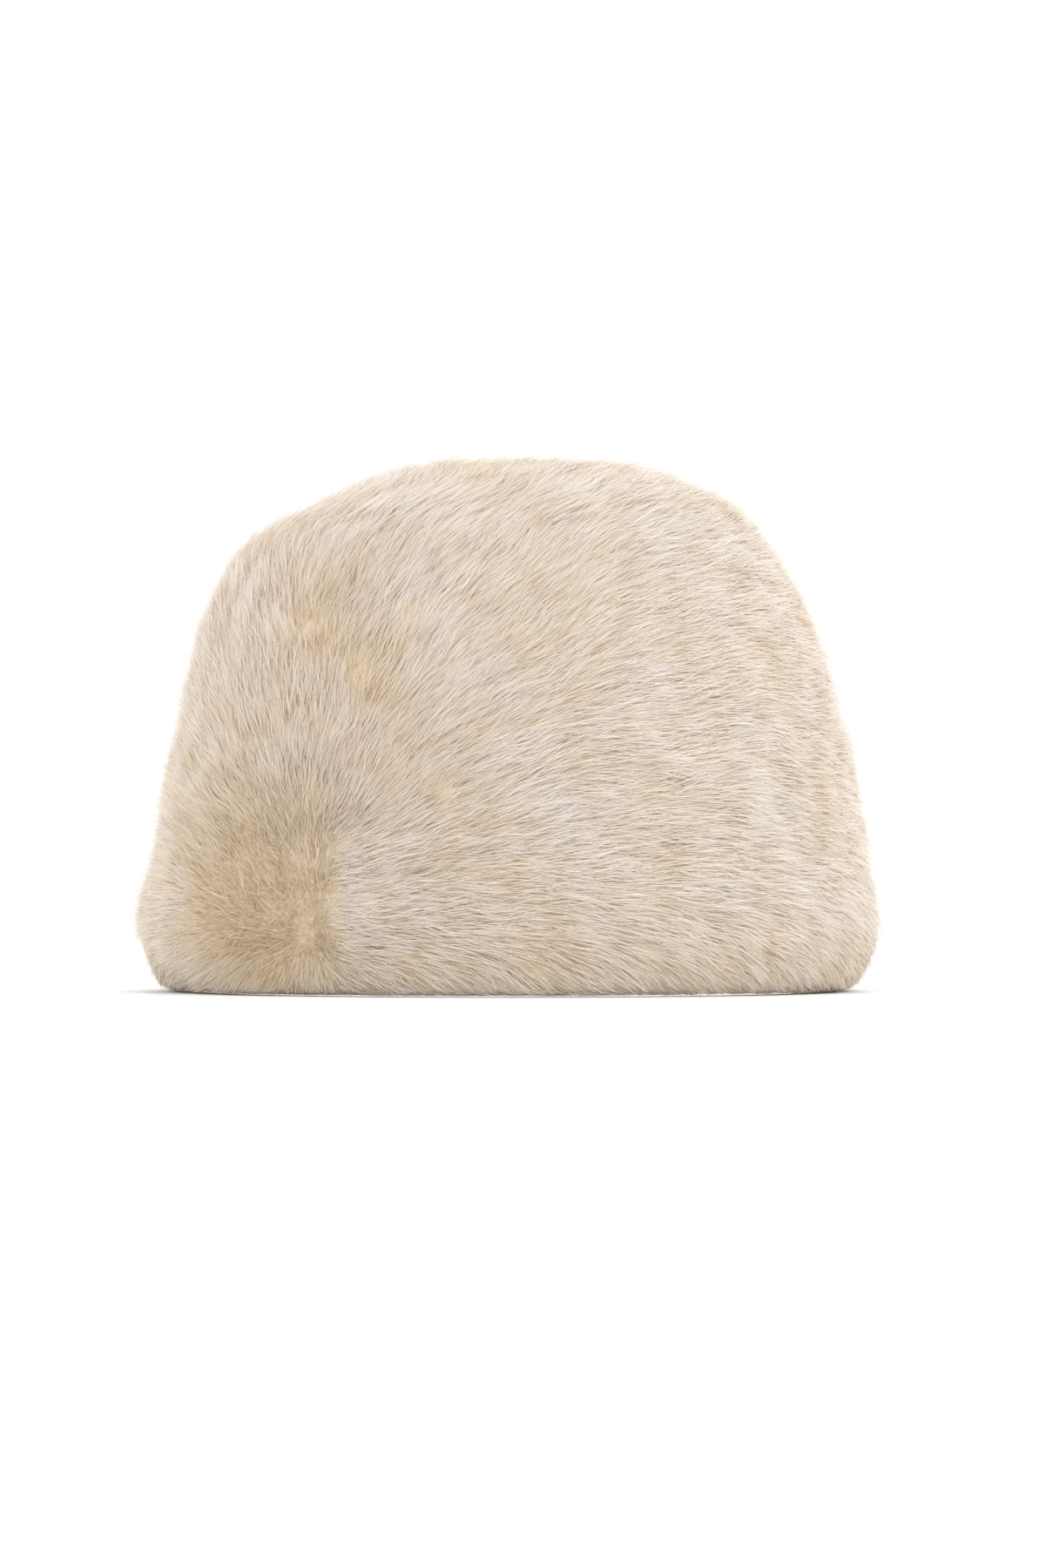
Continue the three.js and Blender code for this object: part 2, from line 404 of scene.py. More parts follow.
def furMaterial():
    # the map of each strand runs up from root to tip and across from golden to pale
    fur = Finish("creamFur")
    strandMap = fur.node("ShaderNodeUVMap", {"uv_map": "OFBake"})
    tone = fur.node("ShaderNodeSeparateXYZ", None, {0: strandMap}, output="X")
    rootToTip = Signal(fur, tone.socket.node.outputs["Y"])
    pale = fur.node("ShaderNodeValToRGB", {"stops": furFinish["pale"]}, {0: rootToTip})
    golden = fur.node("ShaderNodeValToRGB", {"stops": furFinish["golden"]}, {0: rootToTip})
    fur.join(
        fur.shader,
        {
            "Base Color": fur.mixed(tone, golden, pale),
            "Roughness": furFinish["roughness"],
            "Specular IOR Level": furFinish["specular"],
        },
    )
    return fur.material


skinFinish = {
    "pale": (0.80, 0.70, 0.56, 1),
    "deep": (0.68, 0.56, 0.41, 1),
    "clumps": {"Scale": 260, "Detail": 4.0},
    "fluff": {"Scale": 900.0, "Detail": 3.0},
    "clumpsInBump": 2.0,
    "bump": {"Strength": 0.8, "Distance": 0.001},
    "roughness": 0.9,
}


def skinMaterial():
    # the woolly underfur between the strands
    wool = Finish("underfur")
    place = {"Vector": wool.node("ShaderNodeTexCoord", output="Object")}
    clumps = wool.node("ShaderNodeTexNoise", None, {**place, **skinFinish["clumps"]})
    fluff = wool.node("ShaderNodeTexNoise", None, {**place, **skinFinish["fluff"]})
    height = fluff + clumps * skinFinish["clumpsInBump"]
    wool.join(
        wool.shader,
        {
            "Base Color": wool.mixed(clumps, skinFinish["deep"], skinFinish["pale"]),
            "Roughness": skinFinish["roughness"],
            "Normal": wool.node("ShaderNodeBump", None, {**skinFinish["bump"], "Height": height}),
        },
    )
    return wool.material


furPaint = furMaterial()
skinPaint = skinMaterial()

# Where the strands lie on the front, as seen from straight in front: millimetres to the
# right of the middle, millimetres up from the floor, and the way they point, in degrees
# counted from level to the right
napRows = [
    (-82, 130, 70),
    (-51, 126, 62),
    (-36, 113, 50),
    (-80, 106, 97),
    (-70, 86, 88),
    (-54, 86, 78),
    (-41, 91, 56),
    (0, 134, 55),
    (13, 143, 30),
    (42, 134, 15),
    (60, 127, 3),
    (-10, 113, 43),
    (15, 113, 30),
    (40, 106, 12),
    (74, 106, -7),
    (-23, 80, 32),
    (2, 86, 27),
    (40, 86, 8),
    (79, 86, -12),
    (92, 58, -20),
    (-36, 58, 32),
    (2, 58, 17),
    (40, 58, 3),
    (74, 58, -8),
    (-51, 56, 62),
    (-46, 53, 44),
    (-67, 58, 87),
    (-86, 52, 112),
    (-97, 38, 135),
    (-44, 43, 24),
    (-44, 32, 6),
    (-44, 22, -8),
    (-56, 40, 82),
    (-70, 38, 95),
    (-82, 32, 115),
    (-34, 42, 18),
    (-22, 38, 12),
    (2, 38, 7),
    (40, 38, -3),
    (79, 38, -12),
    (-36, 30, 2),
    (-36, 24, -8),
    (-10, 24, -5),
    (15, 20, -13),
    (40, 17, -22),
    (79, 20, -28),
    (97, 12, -45),
    (-36, 4, -62),
    (2, 4, -52),
    (40, 2, -55),
    (79, 4, -48),
    (97, 1, -60),
    (-62, 4, -85),
    (-78, 3, -100),
    (-80, 25, 145),
    (-78, 17, 180),
    (-78, 9, -135),
    (-87, 17, 195),
    (-94, 10, 215),
    (-101, 24, 190),
]

# The same for the sides and the back, by the angle round the hat in degrees, counted from
# the right side to the back; here the way is the one seen from outside
napRowsAround = [
    (0, 120, -8),
    (0, 70, -12),
    (0, 30, -18),
    (0, 3, -60),
    (35, 120, -20),
    (35, 70, -20),
    (35, 30, -28),
    (35, 3, -62),
    (70, 120, -55),
    (70, 70, -44),
    (70, 30, -48),
    (70, 3, -70),
    (105, 120, -82),
    (105, 70, -70),
    (105, 30, -68),
    (105, 3, -80),
    (140, 120, -108),
    (140, 70, -98),
    (140, 30, -90),
    (140, 3, -90),
    (165, 120, -150),
    (165, 70, -138),
    (165, 30, -122),
    (165, 3, -100),
    (183, 120, 155),
    (183, 70, 178),
    (183, 30, 205),
    (183, 3, 245),
    (197, 120, 128),
    (197, 70, 150),
    (197, 30, 185),
    (197, 3, 235),
    (208, 120, 105),
    (208, 70, 122),
]

# Places where the pile is ruffled, parts and shows its tan roots: to the right and up and
# the reach in millimetres, and how much, from 0 to 1
ruffleRows = [
    (-62, 108, 7, 0.9),
    (-57, 102, 6, 1.0),
    (-50, 121, 8, 0.7),
    (-47, 91, 5, 0.9),
    (-43, 83, 5, 0.9),
    (-34, 107, 5, 0.6),
    (-27, 57, 4, 0.8),
    (-34, 68, 5, 0.5),
    (-72, 88, 7, 0.4),
    (-38, 97, 5, 0.5),
    (5, 137, 5, 0.4),
    (23, 145, 5, 0.5),
    (98, 57, 5, 0.8),
    (-95, 36, 6, 0.6),
    (-12, 49, 4, 0.4),
    (-24, 40, 5, 0.4),
    (14, 66, 4, 0.3),
    (-14, 76, 4, 0.3),
]


def frontPlaces(right, up):
    # far and angle of the point of the front that shows at right and up, in millimetres
    far = np.interp(np.asarray(up) / 1000, *upToFar)
    reach = along(coatProfile, "radius", far)
    offset = np.asarray(right) / 1000 + hatForm["middle"][0] - along(coatProfile, "centre", far)
    return far, -np.arccos(np.clip(offset / reach, -0.985, 0.985))


rising = coatProfile["height"] > np.maximum.accumulate(
    np.concatenate([[-1], coatProfile["height"][:-1]])
)
upToFar = (coatProfile["height"][rising], coatProfile["far"][rising])


def napTable():
    # the rows as far, angle and way on the surface: a slope seen at the side of the hat is
    # steeper than it is, by how much the surface turns away
    front = np.array(napRows, float)
    far, angle = frontPlaces(front[:, 0], front[:, 1])
    way = np.radians(front[:, 2])
    facing = np.maximum(np.abs(np.sin(angle)), 0.3)
    way = np.arctan2(np.sin(way) * facing, np.cos(way))
    around = np.array(napRowsAround, float)
    farAround = np.interp(around[:, 1] / 1000, *upToFar)
    return (
        np.concatenate([far, farAround]),
        np.concatenate([angle, np.radians(around[:, 0])]),
        np.concatenate([way, np.radians(around[:, 2])]),
    )


# The hat's usual radius, and how the rows give way to one another
napBlend = {"radius": 0.105, "softness": 0.009, "power": 1.6}


def napField(far, angle):
    # the rows' directions, each weighted by one over its squared distance to a power; near a
    # row the softness stops it from taking over
    rowFar, rowAngle, rowWay = napTable()
    total = np.zeros((len(far), 2))
    for oneFar, oneAngle, oneWay in zip(rowFar, rowAngle, rowWay):
        turned = (angle - oneAngle + math.pi) % (2 * math.pi) - math.pi
        squared = (turned * napBlend["radius"]) ** 2 + (far - oneFar) ** 2
        weight = 1e-6 / (squared + napBlend["softness"] ** 2) ** napBlend["power"]
        total += weight[:, None] * np.array([math.cos(oneWay), math.sin(oneWay)])
    return np.arctan2(total[:, 1], total[:, 0])


def jitteredRoots(profile, low, high, spacing, seed):
    # rows of cells along the profile, each cut into cells as wide as they are high, with
    # one root somewhere in each
    dice = np.random.default_rng(seed)
    rowCount = int((high - low) / spacing)
    rowFar = low + (np.arange(rowCount) + 0.5) * spacing
    radius = np.maximum(along(profile, "radius", rowFar), 0.001)
    perimeter = 2 * math.pi * radius * (1 + depthRatio) / 2
    counts = np.maximum(np.round(perimeter / spacing), 3).astype(int)
    row = np.repeat(np.arange(rowCount), counts)
    column = np.arange(counts.sum()) - np.repeat(np.cumsum(counts) - counts, counts)
    angle = (column + dice.random(len(row))) / counts[row] * 2 * math.pi
    far = low + (row + dice.random(len(row))) * spacing
    return far, angle


def nearestTuft(profile, far, angle, size, seed):
    # the nearest of one centre in each cell of the same kind of grid: the way to it round
    # and up, and its numbers; a centre stays off its cell's edges
    stirred = 0.8
    best = np.full(len(far), 1e9)
    toTuft = np.zeros((len(far), 2))
    number = np.zeros((len(far), 2))
    for rowStep in (-1, 0, 1):
        row = np.floor(far / size) + rowStep
        radius = np.maximum(along(profile, "radius", (row + 0.5) * size), 0.001)
        counts = np.maximum(np.round(2 * math.pi * radius / size), 3)
        own = np.floor(angle / (2 * math.pi) * counts)
        for columnStep in (-1, 0, 1):
            column = (own + columnStep) % counts
            aside = stirred * (scattered(row, column, seed) - 0.5)
            above = stirred * (scattered(row, column, seed + 5) - 0.5)
            spot = (column + 0.5 + aside) / counts * 2 * math.pi
            spotFar = (row + 0.5 + above) * size
            turned = (spot - angle + math.pi) % (2 * math.pi) - math.pi
            around = turned * along(profile, "radius", far)
            distance = around**2 + (spotFar - far) ** 2
            nearer = distance < best
            best = np.where(nearer, distance, best)
            toTuft[nearer, 0] = around[nearer]
            toTuft[nearer, 1] = (spotFar - far)[nearer]
            number[nearer, 0] = row[nearer]
            number[nearer, 1] = column[nearer]
    return toTuft, number


def walkBand(profile, far, angle, around, upward):
    # a walk over the side: round by around and up by upward
    return far + upward, angle + around / widthAt(profile, far, angle)


def walkTop(profile, far, angle, around, upward):
    # the same over the crown, on a flat map whose middle is the crown
    left = profile["length"] - far
    u = left * np.cos(angle) - upward * np.cos(angle) - around * np.sin(angle)
    v = left * np.sin(angle) - upward * np.sin(angle) + around * np.cos(angle)
    return profile["length"] - np.hypot(u, v), np.arctan2(v, u)


# How much strands differ: from tuft to tuft, from wisp to wisp and each by itself
strandChance = {
    "tuftLength": 0.3,
    "ownLength": 0.12,
    "tuftLift": 0.06,
    "wispLift": 0.08,
    "ownLift": 0.05,
    "strayPower": 8,  # the higher, the fewer of them stray
    "tuftBend": 0.18,
    "ownBend": 0.06,
    "ownRoll": 0.7,
    "tuftTone": 0.22,
    "wispTone": 0.16,
    "ownTone": 0.11,
}


def growStrands(profile, walk, roots, nap, shape, seed):
    # each strand has a root, a middle and a tip: the first half rises by liftLow and the
    # second by liftHigh, and both lean into their tuft
    far, angle = roots
    chance = strandChance
    dice = np.random.default_rng(seed)
    count = len(far)
    big, bigNumber = nearestTuft(profile, far, angle, shape["tuft"], seed + 11)
    small, smallNumber = nearestTuft(profile, far, angle, shape["wisp"], seed + 23)
    bigDice = [scattered(bigNumber[:, 0], bigNumber[:, 1], seed + k) - 0.5 for k in range(4)]
    smallDice = [scattered(smallNumber[:, 0], smallNumber[:, 1], seed + k) - 0.5 for k in range(3)]
    nap = nap + shape["tuftTurn"] * bigDice[0] + shape["wispTurn"] * smallDice[0]
    nap = nap + dice.normal(0, shape["strayTurn"], count)
    ownLength = dice.normal(0, chance["ownLength"], count)
    length = shape["length"] * (1 + chance["tuftLength"] * bigDice[1] + ownLength)
    lift = chance["tuftLift"] * bigDice[2] + chance["wispLift"] * smallDice[1]
    lift = lift + dice.normal(0, chance["ownLift"], count)
    liftLow = shape["liftLow"] + lift
    liftHigh = shape["liftHigh"] + lift
    liftHigh = liftHigh + shape["stray"] * dice.random(count) ** chance["strayPower"]
    bend = length * (chance["tuftBend"] * bigDice[3] + dice.normal(0, chance["ownBend"], count))
    pull = big * shape["tuftPull"] + small * np.reshape(shape["wispPull"], (-1, 1))
    pull = pull + shape.get("open", 0)
    stations = []
    forward, height = np.zeros(count), -shape["depth"] * np.ones(count)
    for part, (turnUp, lean, sideways) in enumerate(
        [(None, 0, 0), (liftLow, 0.4, 0.3), (liftHigh, 1.0, 1.0)]
    ):
        if part:
            forward = forward + 0.5 * length * np.cos(turnUp)
            height = height + 0.5 * length * np.sin(turnUp)
        around = forward * np.cos(nap) - sideways * bend * np.sin(nap) + lean * pull[:, 0]
        upward = forward * np.sin(nap) + sideways * bend * np.cos(nap) + lean * pull[:, 1]
        spotFar, spotAngle = walk(profile, far, angle, around, upward)
        stations.append(ovalPoint(profile, spotFar, spotAngle, height))
        if part == 1:
            above = ovalPoint(profile, spotFar, spotAngle, height + 0.001) - stations[-1]
    stations = np.stack(stations, axis=1)
    stations[..., 2] = np.maximum(stations[..., 2], np.reshape(shape["floor"], (-1, 1)))
    # the flat of the strand is rolled about it by a random amount
    way = stations[:, 2] - stations[:, 0]
    way /= np.linalg.norm(way, axis=1, keepdims=True) + 1e-9
    flat = np.cross(way, above)
    flat /= np.linalg.norm(flat, axis=1, keepdims=True) + 1e-9
    upright = np.cross(flat, way)
    roll = dice.normal(0, chance["ownRoll"], count)[:, None]
    across = flat * np.cos(roll) + upright * np.sin(roll)
    tone = furFinish["usual"] + chance["tuftTone"] * bigDice[2] + chance["wispTone"] * smallDice[2]
    tone = tone + dice.normal(0, chance["ownTone"], count)
    return stations, across, tone


def strandMesh(name, stations, across, tone, width, tipUnshaded=1.0):
    # five corners a strand: two at the root, two in the middle and the tip, which has its
    # palest colour unless the last argument is below 1; then the tip keeps a darker colour, a
    # painted shade
    count = len(stations)
    middleWidth = 0.85
    spread = across[:, None, :] * (0.5 * width)
    corners = np.empty((count, 5, 3))
    corners[:, 0] = stations[:, 0] - spread[:, 0]
    corners[:, 1] = stations[:, 0] + spread[:, 0]
    corners[:, 2] = stations[:, 1] - middleWidth * spread[:, 0]
    corners[:, 3] = stations[:, 1] + middleWidth * spread[:, 0]
    corners[:, 4] = stations[:, 2]
    starts = np.arange(count)
    loops = (np.array([0, 1, 3, 2, 2, 3, 4]) + 5 * starts[:, None]).ravel()
    faceStarts = (np.array([0, 4]) + 7 * starts[:, None]).ravel()
    mesh = bpy.data.meshes.new(name)
    mesh.vertices.add(5 * count)
    mesh.vertices.foreach_set("co", corners.ravel())
    mesh.loops.add(7 * count)
    mesh.loops.foreach_set("vertex_index", loops)
    mesh.polygons.add(2 * count)
    mesh.polygons.foreach_set("loop_start", faceStarts)
    # on the map a strand stands upright, as far across as it is pale
    strandMap = mesh.uv_layers.new(name="OFBake")
    left = 0.01 + 0.95 * np.clip(tone, 0, 1)
    right = left + 0.03
    low = np.full(count, 0.01)
    middle, high = low + 0.49 * tipUnshaded, low + 0.98 * tipUnshaded
    spots = [(left, low), (right, low), (right, middle), (left, middle)]
    spots += [(left, middle), (right, middle), ((left + right) / 2, high)]
    strandMap.data.foreach_set("uv", np.array(spots).transpose(2, 0, 1).ravel())
    mesh.update(calc_edges=True)
    return mesh


def triangleCount(mesh):
    mesh.calc_loop_triangles()
    return len(mesh.loop_triangles)


# The whorl, low on the left of the front, where the strands stand up: places and reaches in
# millimetres, as seen from straight in front
whorl = {
    "right": -67,
    "up": 25,
    "wide": 21,
    "high": 30,
    "low": 15,
    "joinRight": -49,
    "joinTop": 47,
    "joinBlur": (-0.5, 0.7),  # the standing strands thin out over this, at the join
    "joinCover": (-1.5, 0.5),  # and the level ones begin over this
    "middle": 17,  # where the standing strands stand straight out
    "leanReach": 16,  # how far above and below that they lean in full
    "lean": 0.42,
    "mess": 0.42,  # how far each leans its own way
    "dots": 0.5,  # how much more they stick together in wisps
    "shallow": 0.0018,  # how much nearer the outline they are rooted, in metres
}

# The strip right of the join, where the strands that lie to the right begin
joinStrip = {
    "right": -43,
    "up": 26,
    "wide": 8,
    "high": 17,
    "levelRight": (-40, -12),  # where their level way fades out
    "levelLow": (3, 13),
    "levelHigh": (42, 56),
    "levelUp": 24,  # here they lie level, and tilt by levelTurn degrees a millimetre
    "levelTurn": 0.85,
    "levelMost": (-20, 22),
    "flatter": 0.45,  # how much less their lower halves rise
}


def standing(points, spread=1.0):
    # how far the strands stand up: 1 in the whorl, 0 beyond it and right of the join
    right, up = points[..., 0] * 1000, points[..., 2] * 1000
    above = up - whorl["up"]
    gone = np.hypot(
        (right - whorl["right"]) / whorl["wide"],
        above / np.where(above > 0, whorl["high"], whorl["low"]),
    )
    pastJoin = ramp(right - whorl["joinRight"], *whorl["joinBlur"])
    inside = np.exp(-((gone / spread) ** 3)) * (points[..., 1] < 0)
    return inside * (1 - pastJoin * (up < whorl["joinTop"]))


def besideJoin(points):
    # 1 in the middle of the strip right of the join, fading out all round
    right, up = points[..., 0] * 1000, points[..., 2] * 1000
    aside = (right - joinStrip["right"]) / joinStrip["wide"]
    above = (up - joinStrip["up"]) / joinStrip["high"]
    return np.exp(-(aside**2) - above**2) * (points[..., 1] < 0)


# The skins: closed walls from the underfur's surface to the backing's inside
skinForm = {
    "depth": 0.0045,
    "hemDepth": 0.004,
    "floor": 0.0012,
    "seamGap": 0.0001,
    "insideStart": 0.03,  # the inside leaves off here, above the hem
    "ripple": 0.0006,
    "rippleScale": 0.012,
    "rippleFade": 0.008,  # the ripple ends at the seam, where the skins have to meet
    "raisedStanding": 0.5,
    "raisedStrip": 0.8,
    "columns": 180,
    "sideRows": (44, 12),
    "topRows": (26, 9),
    "topHoles": (0.03, 0.06),  # the size of the first rings round the crown
    "hemRows": 20,
}


def skinAngles():
    return np.linspace(0, 2 * math.pi, skinForm["columns"], endpoint=False)[None, :]


def sideSkinPiece():
    # far runs from the rim to the seam outside, and back down inside
    angle = skinAngles()
    outsideRows, insideRows = skinForm["sideRows"]
    top = seamFar(angle) - skinForm["seamGap"]
    start = skinForm["insideStart"]
    outside = np.linspace(0, 1, outsideRows)[:, None] * top
    inside = start + (top - start) * np.linspace(1, 0, insideRows)[:, None]
    outer = ovalPoint(coatProfile, outside, angle, -skinForm["depth"])
    inner = ovalPoint(coatProfile, inside, angle, -hatForm["backing"])
    waves = swell(outer.reshape(-1, 3), skinForm["rippleScale"], 3).reshape(outer.shape[:2])
    raised = np.maximum(
        skinForm["raisedStanding"] * standing(outer), skinForm["raisedStrip"] * besideJoin(outer)
    )
    ripple = skinForm["ripple"] * waves + whorl["shallow"] * raised
    ripple = ripple * ramp(top - outside, 0.0, skinForm["rippleFade"])
    outer = ovalPoint(coatProfile, outside, angle, -skinForm["depth"] + ripple)
    outer[..., 2] = np.maximum(outer[..., 2], skinForm["floor"])
    return closedSurface("side_skin", np.concatenate([outer, inner]))


def topSkinPiece():
    # far runs from the crown to the seam outside, and back up inside
    angle = skinAngles()
    outsideRows, insideRows = skinForm["topRows"]
    outsideHole, insideHole = skinForm["topHoles"]
    low = seamFar(angle) + skinForm["seamGap"]
    length = coatProfile["length"]
    outside = length + (low - length) * np.linspace(outsideHole, 1, outsideRows)[:, None]
    inside = length + (low - length) * np.linspace(1, insideHole, insideRows)[:, None]
    outer = ovalPoint(coatProfile, outside, angle, -skinForm["depth"])
    inner = ovalPoint(coatProfile, inside, angle, -hatForm["backing"])
    crown = ovalPoint(coatProfile, length, 0.0, -skinForm["depth"])
    under = ovalPoint(coatProfile, length, 0.0, -hatForm["backing"])
    return closedSurface("top_skin", np.concatenate([outer, inner]), crown[None], under[None])


def hemSkinPiece():
    # the hem's closed section swept round, set in by the depth of its pile
    far = np.linspace(0, 1, skinForm["hemRows"])[:, None] * hemProfile["length"]
    rings = ovalPoint(hemProfile, far, skinAngles(), -skinForm["hemDepth"])
    rings[..., 2] = np.maximum(rings[..., 2], skinForm["floor"])
    return closedSurface("hem_skin", rings)


linkPiece("side_skin", sideSkinPiece(), skinPaint, "fur_side_band")
linkPiece("top_skin", topSkinPiece(), skinPaint, "fur_top_piece")
linkPiece("hem_skin", hemSkinPiece(), skinPaint, "fur_hem")
print("skins are built")

# The pile of the side: liftLow and liftHigh are how steeply the strands rise, tuft and wisp
# the sizes of both, the pulls how far strands lean into them, and the turns how far each
# changes the nap
sideFur = {
    "spacing": 0.00071,
    "length": 0.0138,
    "liftLow": math.radians(32),
    "liftHigh": math.radians(6),
    "stray": 0.55,
    "depth": 0.0066,
    "tuft": 0.0075,
    "tuftPull": 0.10,
    "tuftTurn": 0.16,
    "wisp": 0.0011,
    "wispPull": 0.15,
    "wispTurn": 0.15,
    "strayTurn": 0.11,
    "width": 0.0002,
    "floor": 0.0004,
}

# What changes from place to place on the side. Pairs of whole numbers are where a change
# starts and where it is full, in millimetres; the tones are added to furFinish's usual one
sideChange = {
    "seamGap": 0.0003,
    "extraSpacing": 0.9,
    "extraTop": 0.09,
    "extraFrom": 0.03,  # how far a strand has to stand to get company
    "past": 0.006,
    "frizzRight": (30, 62),
    "frizzLow": (38, 60),
    "frizzHigh": (128, 142),
    "frizzTurn": 0.17,
    "frizzLift": (0.12, 0.15),  # added to liftLow and to liftHigh
    "frizzShorter": 0.2,
    "rim": (2, 12),
    "rimShorter": 0.25,
    "under": 0.0006,  # standing tips end this far under the outline
    "floorStir": 0.0016,
    "ruffleRagged": 0.7,
    "ruffleScale": 0.006,
    "ruffleOpen": 0.002,
    "ruffleTurn": 0.4,
    "ruffleLift": 0.3,
    "ruffleShorter": 0.25,
    "ruffleTone": -0.36,
    "hazeTone": -0.1,
    # painted shade: the left side of the front is made darker and more golden, as if turned from
    # the light
    "leftShadeSide": (35, 85),
    "leftShadeTone": -0.06,
    "waveTone": 0.10,
    # painted shade: the pile is darker towards the rim, where the surface curves under
    "lowShadeBand": (5, 34),
    "lowShadeTone": -0.18,
    "whorlTone": -0.5,
    "whorlSpread": 1.18,  # the golden patch is wider than the whorl by this
    # painted light: the strip right of the join is made paler, against the shade that gathers
    # there
    "stripLightTone": 0.07,
    "whorlStir": 0.5,
    "whorlWisp": 0.0023,
    "whorlGapShade": (0.42, 1.3),  # how much painted shade lies between the wisps, and how sharply
    "wispTone": 0.16,
    # painted shade between the whorl's wisps: how far short of their pale tips those strands'
    # colours stop
    "gapShade": 0.7,
}


def wavyNap(nap, roots):
    # broad and narrow waves in the way that the strands point
    return nap + 0.10 * swell(roots, 0.030, 7) + 0.08 * swell(roots, 0.011, 8)


def wavyLifts(fur, roots):
    # and in how steeply they rise
    low = fur["liftLow"] + 0.06 * swell(roots, 0.02, 9)
    return low, fur["liftHigh"] + 0.06 * swell(roots, 0.014, 10)


def turnTo(nap, other, share):
    # the way between two ways, by the share that the second has
    return np.arctan2(
        (1 - share) * np.sin(nap) + share * np.sin(other),
        (1 - share) * np.cos(nap) + share * np.cos(other),
    )


def sideRoots():
    # roots up to the seam, and as many again where the strands stand, which are extra
    length, spacing = coatProfile["length"], sideFur["spacing"]
    far, angle = jitteredRoots(coatProfile, 0.001, length * 0.72, spacing, 5)
    keep = far < seamFar(angle) - sideChange["seamGap"]
    far, angle = far[keep], angle[keep]
    moreFar, moreAngle = jitteredRoots(
        coatProfile, 0.001, sideChange["extraTop"], spacing * sideChange["extraSpacing"], 15
    )
    morePlaces = ovalPoint(coatProfile, moreFar, moreAngle, -sideFur["depth"])
    keep = standing(morePlaces) > sideChange["extraFrom"]
    extra = np.concatenate([np.zeros(len(far), bool), np.ones(keep.sum(), bool)])
    far = np.concatenate([far, moreFar[keep]])
    angle = np.concatenate([angle, moreAngle[keep]])
    return far, angle, extra


def levelNap(nap, right, up, past, front):
    # right of the join the strands lie nearly level
    level = front * (1 - ramp(right, *joinStrip["levelRight"])) * ramp(up, *joinStrip["levelLow"])
    level = level * (1 - ramp(up, *joinStrip["levelHigh"]))
    level = level * ramp(past[:, 0] * 1000 - whorl["joinRight"], *whorl["joinCover"])
    tilt = joinStrip["levelTurn"] * (up - joinStrip["levelUp"])
    return turnTo(nap, np.radians(np.clip(tilt, *joinStrip["levelMost"])), level)


def whorlLifts(nap, liftLow, liftHigh, up, stand, dice):
    # in the whorl strands lean up above its middle and down below it, each a little its own
    # way: a strand's direction seen from outside is blended from lying to leaning, and what
    # is missing to a full length is its rise
    lean = dice.normal(0, whorl["mess"], (len(nap), 2))
    lean[:, 1] += whorl["lean"] * np.clip((up - whorl["middle"]) / whorl["leanReach"], -1, 1)
    lying = np.stack([np.cos(nap), np.sin(nap)], 1) * (1 - stand)[:, None]
    low = lying * np.cos(liftLow)[:, None] + lean * stand[:, None]
    high = lying * np.cos(liftHigh)[:, None] + lean * stand[:, None]
    stands = stand > 0.01
    liftLow = np.where(stands, np.arccos(np.clip(np.hypot(*low.T), 0, 0.98)), liftLow)
    liftHigh = np.where(stands, np.arccos(np.clip(np.hypot(*high.T), 0, 0.995)), liftHigh)
    return np.arctan2(high[:, 1], high[:, 0]), liftLow, liftHigh


def ruffles(far, angle):
    # the push away from the middles of the ruffles, how ruffled, and the haze round them
    opened = np.zeros((len(far), 2))
    shade, haze = np.zeros(len(far)), np.zeros(len(far))
    rows = np.array(ruffleRows, float)
    rowFar, rowAngle = frontPlaces(rows[:, 0], rows[:, 1])
    for oneFar, oneAngle, (reach, much) in zip(rowFar, rowAngle % (2 * math.pi), rows[:, 2:]):
        around = (angle - oneAngle) * widthAt(coatProfile, far, angle)
        upward = far - oneFar
        squared = around**2 + upward**2
        near = much * np.exp(-squared / (reach / 1000) ** 2)
        # the haze reaches about twice as far, at half the strength
        haze = haze + 0.5 * much * np.exp(-squared / (reach / 450) ** 2)
        distance = np.sqrt(squared) + 1e-5
        push = near * sideChange["ruffleOpen"]
        opened += np.stack([around / distance * push, upward / distance * push], 1)
        shade = np.maximum(shade, near)
    return opened, shade, haze


